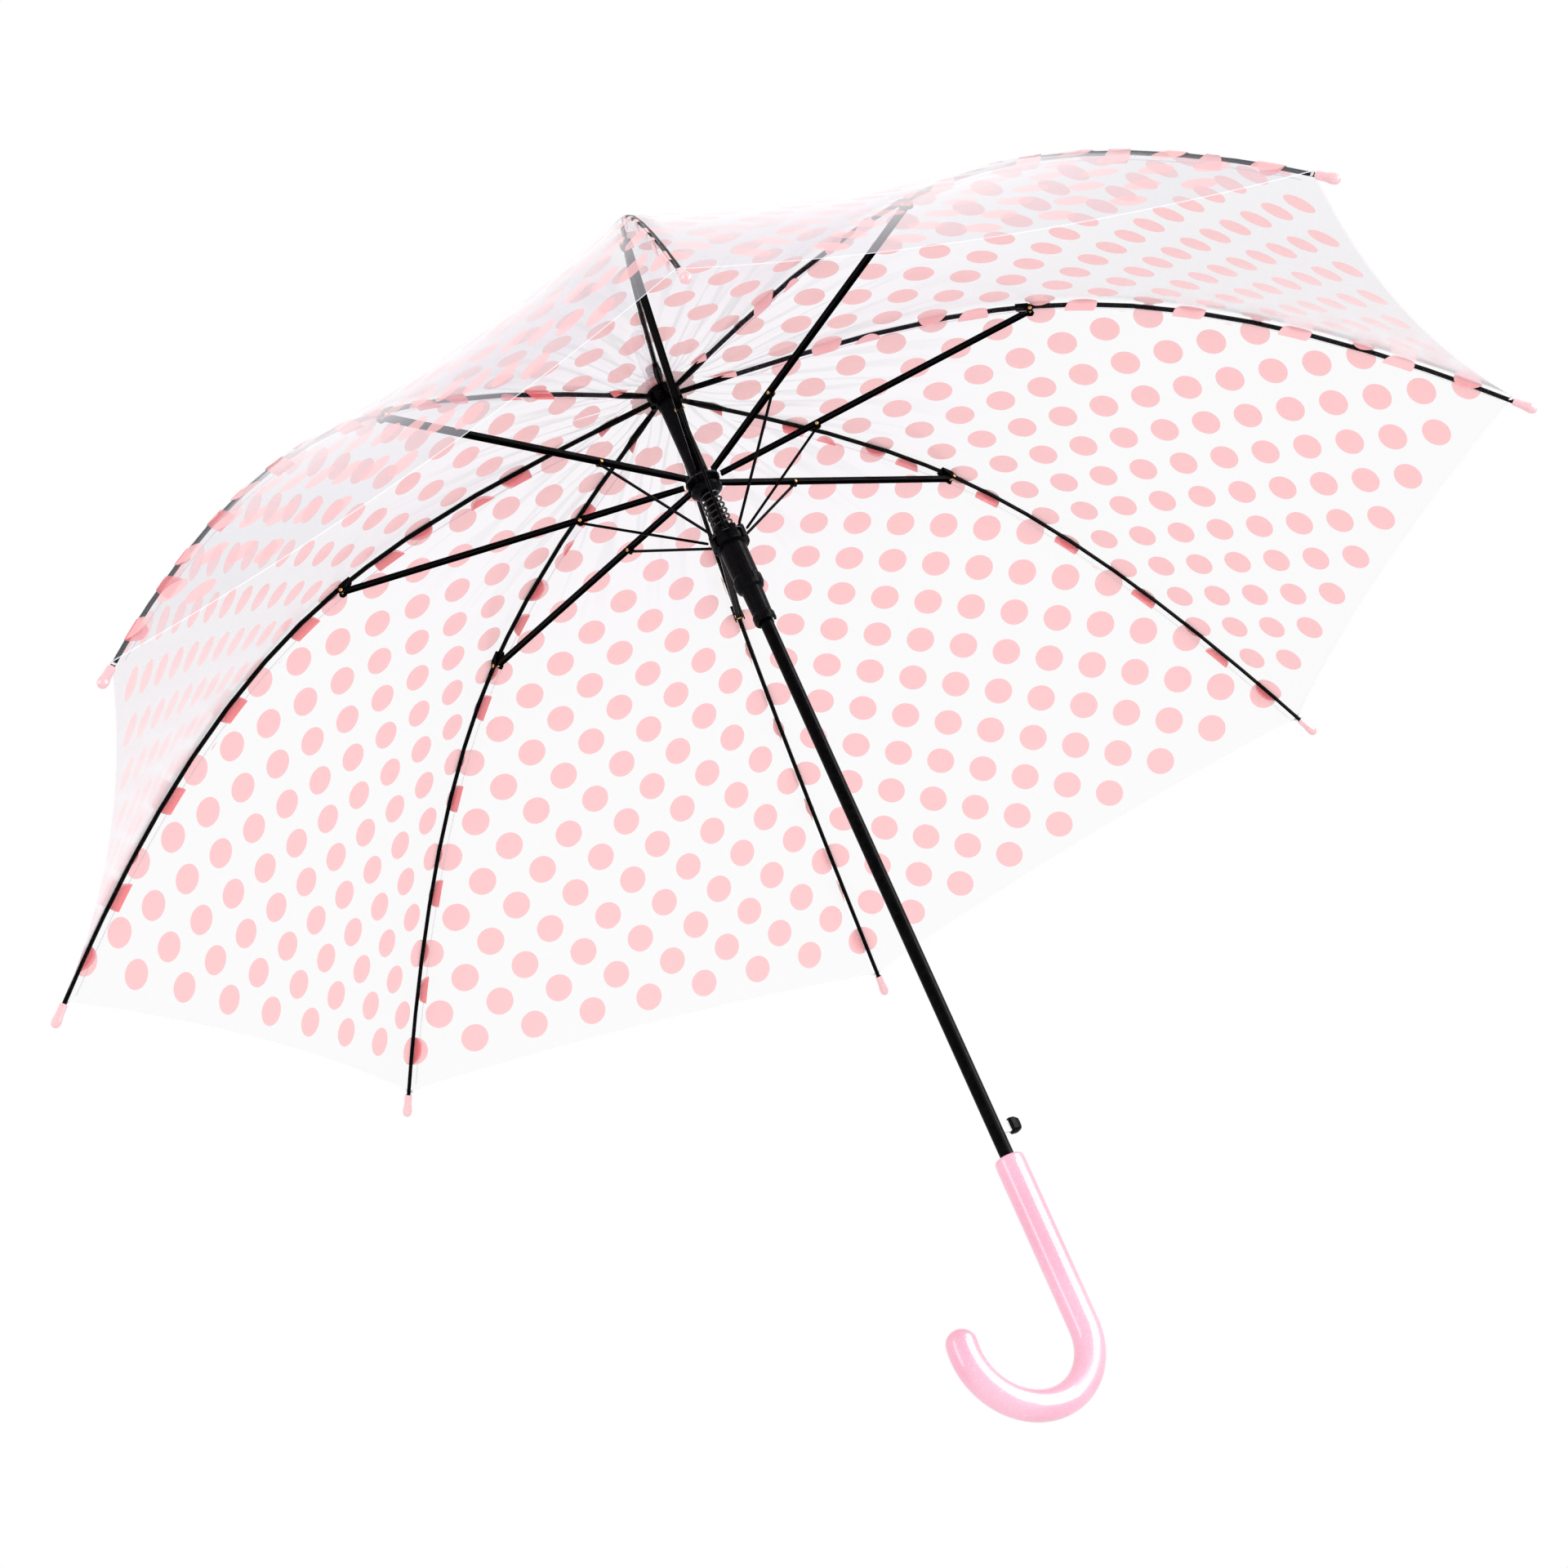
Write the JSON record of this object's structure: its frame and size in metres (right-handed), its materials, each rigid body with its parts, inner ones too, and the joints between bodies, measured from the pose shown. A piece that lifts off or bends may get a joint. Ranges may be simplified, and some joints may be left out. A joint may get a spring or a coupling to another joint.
{
  "type": "stick umbrella",
  "caption": "Stick umbrella with a clear film canopy of dotted gores on a jointed black frame, spring opening, push button and a J-shaped handle.",
  "frame": {"origin": "middle of the handle's straight grip, on the shaft's axis", "axes": "+Z along the shaft from the grip to the ferrule, +X the way the hook of the handle opens; the button is on the -X side"},
  "size_m": [0.9078, 0.9078, 0.7312],
  "materials": {
    "black_metal": "gloss black",
    "black_plastic": "gloss black",
    "spring_steel": "dark",
    "pink_pearl": "pearl gloss",
    "clear_film": "clear film with pale pink dots",
    "pale_plastic": "gloss"
  },
  "bodies": {
    "shaft_and_grip": {"shaft": "black_metal", "crown": "black_plastic", "ferrule": "pale_plastic", "top_washer": "pale_plastic", "handle": "pink_pearl", "gore_1": "clear_film", "gore_2": "clear_film", "gore_3": "clear_film", "gore_4": "clear_film", "gore_5": "clear_film", "gore_6": "clear_film", "gore_7": "clear_film", "gore_8": "clear_film", "button_spring": "spring_steel"},
    "rib_1": {"rib_inner_1": "black_metal"},
    "rib_end_1": {"rib_outer_1": "black_metal", "rib_tip_1": "pink_pearl"},
    "stretcher_1": {"stretcher_1": "black_metal"},
    "strut_1": {"strut_1": "black_metal"},
    "rib_2": {"rib_inner_2": "black_metal"},
    "rib_end_2": {"rib_outer_2": "black_metal", "rib_tip_2": "pink_pearl"},
    "stretcher_2": {"stretcher_2": "black_metal"},
    "strut_2": {"strut_2": "black_metal"},
    "rib_3": {"rib_inner_3": "black_metal"},
    "rib_end_3": {"rib_outer_3": "black_metal", "rib_tip_3": "pink_pearl"},
    "stretcher_3": {"stretcher_3": "black_metal"},
    "strut_3": {"strut_3": "black_metal"},
    "rib_4": {"rib_inner_4": "black_metal"},
    "rib_end_4": {"rib_outer_4": "black_metal", "rib_tip_4": "pink_pearl"},
    "stretcher_4": {"stretcher_4": "black_metal"},
    "strut_4": {"strut_4": "black_metal"},
    "rib_5": {"rib_inner_5": "black_metal"},
    "rib_end_5": {"rib_outer_5": "black_metal", "rib_tip_5": "pink_pearl"},
    "stretcher_5": {"stretcher_5": "black_metal"},
    "strut_5": {"strut_5": "black_metal"},
    "rib_6": {"rib_inner_6": "black_metal"},
    "rib_end_6": {"rib_outer_6": "black_metal", "rib_tip_6": "pink_pearl"},
    "stretcher_6": {"stretcher_6": "black_metal"},
    "strut_6": {"strut_6": "black_metal"},
    "rib_7": {"rib_inner_7": "black_metal"},
    "rib_end_7": {"rib_outer_7": "black_metal", "rib_tip_7": "pink_pearl"},
    "stretcher_7": {"stretcher_7": "black_metal"},
    "strut_7": {"strut_7": "black_metal"},
    "rib_8": {"rib_inner_8": "black_metal"},
    "rib_end_8": {"rib_outer_8": "black_metal", "rib_tip_8": "pink_pearl"},
    "stretcher_8": {"stretcher_8": "black_metal"},
    "strut_8": {"strut_8": "black_metal"},
    "spring_body": {"opening_spring": "spring_steel"},
    "upper_runner_body": {"upper_runner": "black_plastic"},
    "lower_runner_body": {"lower_runner": "black_plastic"},
    "button": {"button_cap": "black_plastic", "button_stem": "pale_plastic"}
  },
  "joints": [
    {"name": "rib_hinge_1", "type": "hinge", "parent": "shaft_and_grip", "child": "rib_1", "pos_m": [0.00823, -0.00475, 0.584], "axis": [0.5, 0.866, 0], "range_deg": [0, 78.68], "stiffness_Nm_per_rad": 0.9, "springref_deg": -68.75, "deforming": ["gore_1", "gore_2", "gore_3", "gore_4", "gore_5", "gore_6", "gore_7", "gore_8", "opening_spring"]},
    {"name": "rib_flex_1", "type": "hinge", "parent": "rib_1", "child": "rib_end_1", "pos_m": [0.19607, -0.1132, 0.5462], "axis": [-0.5, -0.866, 0], "range_deg": [-0.4, 29.49]},
    {"name": "stretcher_hinge_1", "type": "hinge", "parent": "rib_1", "child": "stretcher_1", "pos_m": [0.1952, -0.1127, 0.54348], "axis": [-0.5, -0.866, 0], "range_deg": [-0.8, 164.28]},
    {"name": "strut_hinge_1", "type": "hinge", "parent": "stretcher_1", "child": "strut_1", "pos_m": [0.06702, -0.03869, 0.52501], "axis": [0.5, 0.866, 0], "range_deg": [-0.4, 34.86]},
    {"name": "rib_hinge_2", "type": "hinge", "parent": "shaft_and_grip", "child": "rib_2", "pos_m": [0.00246, -0.00918, 0.584], "axis": [0.9659, 0.2588, 0], "range_deg": [-0.4, 79.08]},
    {"name": "rib_flex_2", "type": "hinge", "parent": "rib_2", "child": "rib_end_2", "pos_m": [0.0586, -0.21869, 0.5462], "axis": [-0.9659, -0.2588, 0], "range_deg": [-0.4, 29.49]},
    {"name": "stretcher_hinge_2", "type": "hinge", "parent": "rib_2", "child": "stretcher_2", "pos_m": [0.05834, -0.21772, 0.54348], "axis": [-0.9659, -0.2588, 0], "range_deg": [-0.8, 164.28]},
    {"name": "strut_hinge_2", "type": "hinge", "parent": "stretcher_2", "child": "strut_2", "pos_m": [0.02003, -0.07475, 0.52501], "axis": [0.9659, 0.2588, 0], "range_deg": [-0.4, 34.86]},
    {"name": "rib_hinge_3", "type": "hinge", "parent": "shaft_and_grip", "child": "rib_3", "pos_m": [-0.00475, -0.00823, 0.584], "axis": [0.866, -0.5, 0], "range_deg": [-0.4, 79.08]},
    {"name": "rib_flex_3", "type": "hinge", "parent": "rib_3", "child": "rib_end_3", "pos_m": [-0.1132, -0.19607, 0.5462], "axis": [-0.866, 0.5, 0], "range_deg": [-0.4, 29.49]},
    {"name": "stretcher_hinge_3", "type": "hinge", "parent": "rib_3", "child": "stretcher_3", "pos_m": [-0.1127, -0.1952, 0.54348], "axis": [-0.866, 0.5, 0], "range_deg": [-0.8, 164.28]},
    {"name": "strut_hinge_3", "type": "hinge", "parent": "stretcher_3", "child": "strut_3", "pos_m": [-0.03869, -0.06702, 0.52501], "axis": [0.866, -0.5, 0], "range_deg": [-0.4, 34.86]},
    {"name": "rib_hinge_4", "type": "hinge", "parent": "shaft_and_grip", "child": "rib_4", "pos_m": [-0.00918, -0.00246, 0.584], "axis": [0.2588, -0.9659, 0], "range_deg": [-0.4, 79.08]},
    {"name": "rib_flex_4", "type": "hinge", "parent": "rib_4", "child": "rib_end_4", "pos_m": [-0.21869, -0.0586, 0.5462], "axis": [-0.2588, 0.9659, 0], "range_deg": [-0.4, 29.49]},
    {"name": "stretcher_hinge_4", "type": "hinge", "parent": "rib_4", "child": "stretcher_4", "pos_m": [-0.21772, -0.05834, 0.54348], "axis": [-0.2588, 0.9659, 0], "range_deg": [-0.8, 164.28]},
    {"name": "strut_hinge_4", "type": "hinge", "parent": "stretcher_4", "child": "strut_4", "pos_m": [-0.07475, -0.02003, 0.52501], "axis": [0.2588, -0.9659, 0], "range_deg": [-0.4, 34.86]},
    {"name": "rib_hinge_5", "type": "hinge", "parent": "shaft_and_grip", "child": "rib_5", "pos_m": [-0.00823, 0.00475, 0.584], "axis": [-0.5, -0.866, 0], "range_deg": [-0.4, 79.08]},
    {"name": "rib_flex_5", "type": "hinge", "parent": "rib_5", "child": "rib_end_5", "pos_m": [-0.19607, 0.1132, 0.5462], "axis": [0.5, 0.866, 0], "range_deg": [-0.4, 29.49]},
    {"name": "stretcher_hinge_5", "type": "hinge", "parent": "rib_5", "child": "stretcher_5", "pos_m": [-0.1952, 0.1127, 0.54348], "axis": [0.5, 0.866, 0], "range_deg": [-0.8, 164.28]},
    {"name": "strut_hinge_5", "type": "hinge", "parent": "stretcher_5", "child": "strut_5", "pos_m": [-0.06702, 0.03869, 0.52501], "axis": [-0.5, -0.866, 0], "range_deg": [-0.4, 34.86]},
    {"name": "rib_hinge_6", "type": "hinge", "parent": "shaft_and_grip", "child": "rib_6", "pos_m": [-0.00246, 0.00918, 0.584], "axis": [-0.9659, -0.2588, 0], "range_deg": [-0.4, 79.08]},
    {"name": "rib_flex_6", "type": "hinge", "parent": "rib_6", "child": "rib_end_6", "pos_m": [-0.0586, 0.21869, 0.5462], "axis": [0.9659, 0.2588, 0], "range_deg": [-0.4, 29.49]},
    {"name": "stretcher_hinge_6", "type": "hinge", "parent": "rib_6", "child": "stretcher_6", "pos_m": [-0.05834, 0.21772, 0.54348], "axis": [0.9659, 0.2588, 0], "range_deg": [-0.8, 164.28]},
    {"name": "strut_hinge_6", "type": "hinge", "parent": "stretcher_6", "child": "strut_6", "pos_m": [-0.02003, 0.07475, 0.52501], "axis": [-0.9659, -0.2588, 0], "range_deg": [-0.4, 34.86]},
    {"name": "rib_hinge_7", "type": "hinge", "parent": "shaft_and_grip", "child": "rib_7", "pos_m": [0.00475, 0.00823, 0.584], "axis": [-0.866, 0.5, 0], "range_deg": [-0.4, 79.08]},
    {"name": "rib_flex_7", "type": "hinge", "parent": "rib_7", "child": "rib_end_7", "pos_m": [0.1132, 0.19607, 0.5462], "axis": [0.866, -0.5, 0], "range_deg": [-0.4, 29.49]},
    {"name": "stretcher_hinge_7", "type": "hinge", "parent": "rib_7", "child": "stretcher_7", "pos_m": [0.1127, 0.1952, 0.54348], "axis": [0.866, -0.5, 0], "range_deg": [-0.8, 164.28]},
    {"name": "strut_hinge_7", "type": "hinge", "parent": "stretcher_7", "child": "strut_7", "pos_m": [0.03869, 0.06702, 0.52501], "axis": [-0.866, 0.5, 0], "range_deg": [-0.4, 34.86]},
    {"name": "rib_hinge_8", "type": "hinge", "parent": "shaft_and_grip", "child": "rib_8", "pos_m": [0.00918, 0.00246, 0.584], "axis": [-0.2588, 0.9659, 0], "range_deg": [-0.4, 79.08]},
    {"name": "rib_flex_8", "type": "hinge", "parent": "rib_8", "child": "rib_end_8", "pos_m": [0.21869, 0.0586, 0.5462], "axis": [0.2588, -0.9659, 0], "range_deg": [-0.4, 29.49]},
    {"name": "stretcher_hinge_8", "type": "hinge", "parent": "rib_8", "child": "stretcher_8", "pos_m": [0.21772, 0.05834, 0.54348], "axis": [0.2588, -0.9659, 0], "range_deg": [-0.8, 164.28]},
    {"name": "strut_hinge_8", "type": "hinge", "parent": "stretcher_8", "child": "strut_8", "pos_m": [0.07475, 0.02003, 0.52501], "axis": [-0.2588, 0.9659, 0], "range_deg": [-0.4, 34.86]},
    {"name": "spring_carry", "type": "hinge", "parent": "stretcher_1", "child": "spring_body", "pos_m": [0.02595, -0.01498, 0.50852], "axis": [0.5, 0.866, 0], "range_deg": [-0.4, 85.19]},
    {"name": "upper_runner_slide", "type": "slide", "parent": "spring_body", "child": "upper_runner_body", "axis": [0, 0, -1], "range_m": [-0.0005, 0.03053]},
    {"name": "lower_runner_slide", "type": "slide", "parent": "spring_body", "child": "lower_runner_body", "axis": [0, 0, -1], "range_m": [-0.0005, 0.00219]},
    {"name": "button_press", "type": "slide", "parent": "shaft_and_grip", "child": "button", "axis": [1, 0, 0], "range_m": [0, 0.0018], "stiffness_N_per_m": 900, "springref_m": -0.001, "deforming": ["button_spring"]}
  ],
  "couplings": [
    {"joint": "rib_flex_1", "follows": "rib_hinge_1", "ratio": 0.36972},
    {"joint": "stretcher_hinge_1", "follows": "rib_hinge_1", "ratio": 2.0777},
    {"joint": "strut_hinge_1", "follows": "rib_hinge_1", "ratio": 0.43795},
    {"joint": "rib_hinge_2", "follows": "rib_hinge_1", "ratio": 1},
    {"joint": "rib_flex_2", "follows": "rib_hinge_1", "ratio": 0.36972},
    {"joint": "stretcher_hinge_2", "follows": "rib_hinge_1", "ratio": 2.0777},
    {"joint": "strut_hinge_2", "follows": "rib_hinge_1", "ratio": 0.43795},
    {"joint": "rib_hinge_3", "follows": "rib_hinge_1", "ratio": 1},
    {"joint": "rib_flex_3", "follows": "rib_hinge_1", "ratio": 0.36972},
    {"joint": "stretcher_hinge_3", "follows": "rib_hinge_1", "ratio": 2.0777},
    {"joint": "strut_hinge_3", "follows": "rib_hinge_1", "ratio": 0.43795},
    {"joint": "rib_hinge_4", "follows": "rib_hinge_1", "ratio": 1},
    {"joint": "rib_flex_4", "follows": "rib_hinge_1", "ratio": 0.36972},
    {"joint": "stretcher_hinge_4", "follows": "rib_hinge_1", "ratio": 2.0777},
    {"joint": "strut_hinge_4", "follows": "rib_hinge_1", "ratio": 0.43795},
    {"joint": "rib_hinge_5", "follows": "rib_hinge_1", "ratio": 1},
    {"joint": "rib_flex_5", "follows": "rib_hinge_1", "ratio": 0.36972},
    {"joint": "stretcher_hinge_5", "follows": "rib_hinge_1", "ratio": 2.0777},
    {"joint": "strut_hinge_5", "follows": "rib_hinge_1", "ratio": 0.43795},
    {"joint": "rib_hinge_6", "follows": "rib_hinge_1", "ratio": 1},
    {"joint": "rib_flex_6", "follows": "rib_hinge_1", "ratio": 0.36972},
    {"joint": "stretcher_hinge_6", "follows": "rib_hinge_1", "ratio": 2.0777},
    {"joint": "strut_hinge_6", "follows": "rib_hinge_1", "ratio": 0.43795},
    {"joint": "rib_hinge_7", "follows": "rib_hinge_1", "ratio": 1},
    {"joint": "rib_flex_7", "follows": "rib_hinge_1", "ratio": 0.36972},
    {"joint": "stretcher_hinge_7", "follows": "rib_hinge_1", "ratio": 2.0777},
    {"joint": "strut_hinge_7", "follows": "rib_hinge_1", "ratio": 0.43795},
    {"joint": "rib_hinge_8", "follows": "rib_hinge_1", "ratio": 1},
    {"joint": "rib_flex_8", "follows": "rib_hinge_1", "ratio": 0.36972},
    {"joint": "stretcher_hinge_8", "follows": "rib_hinge_1", "ratio": 2.0777},
    {"joint": "strut_hinge_8", "follows": "rib_hinge_1", "ratio": 0.43795},
    {"joint": "spring_carry", "follows": "rib_hinge_1", "ratio": 1.0777},
    {"joint": "upper_runner_slide", "follows": "rib_hinge_1", "m_per_rad": 0.021866},
    {"joint": "lower_runner_slide", "follows": "rib_hinge_1", "m_per_rad": 0.0012332}
  ]
}
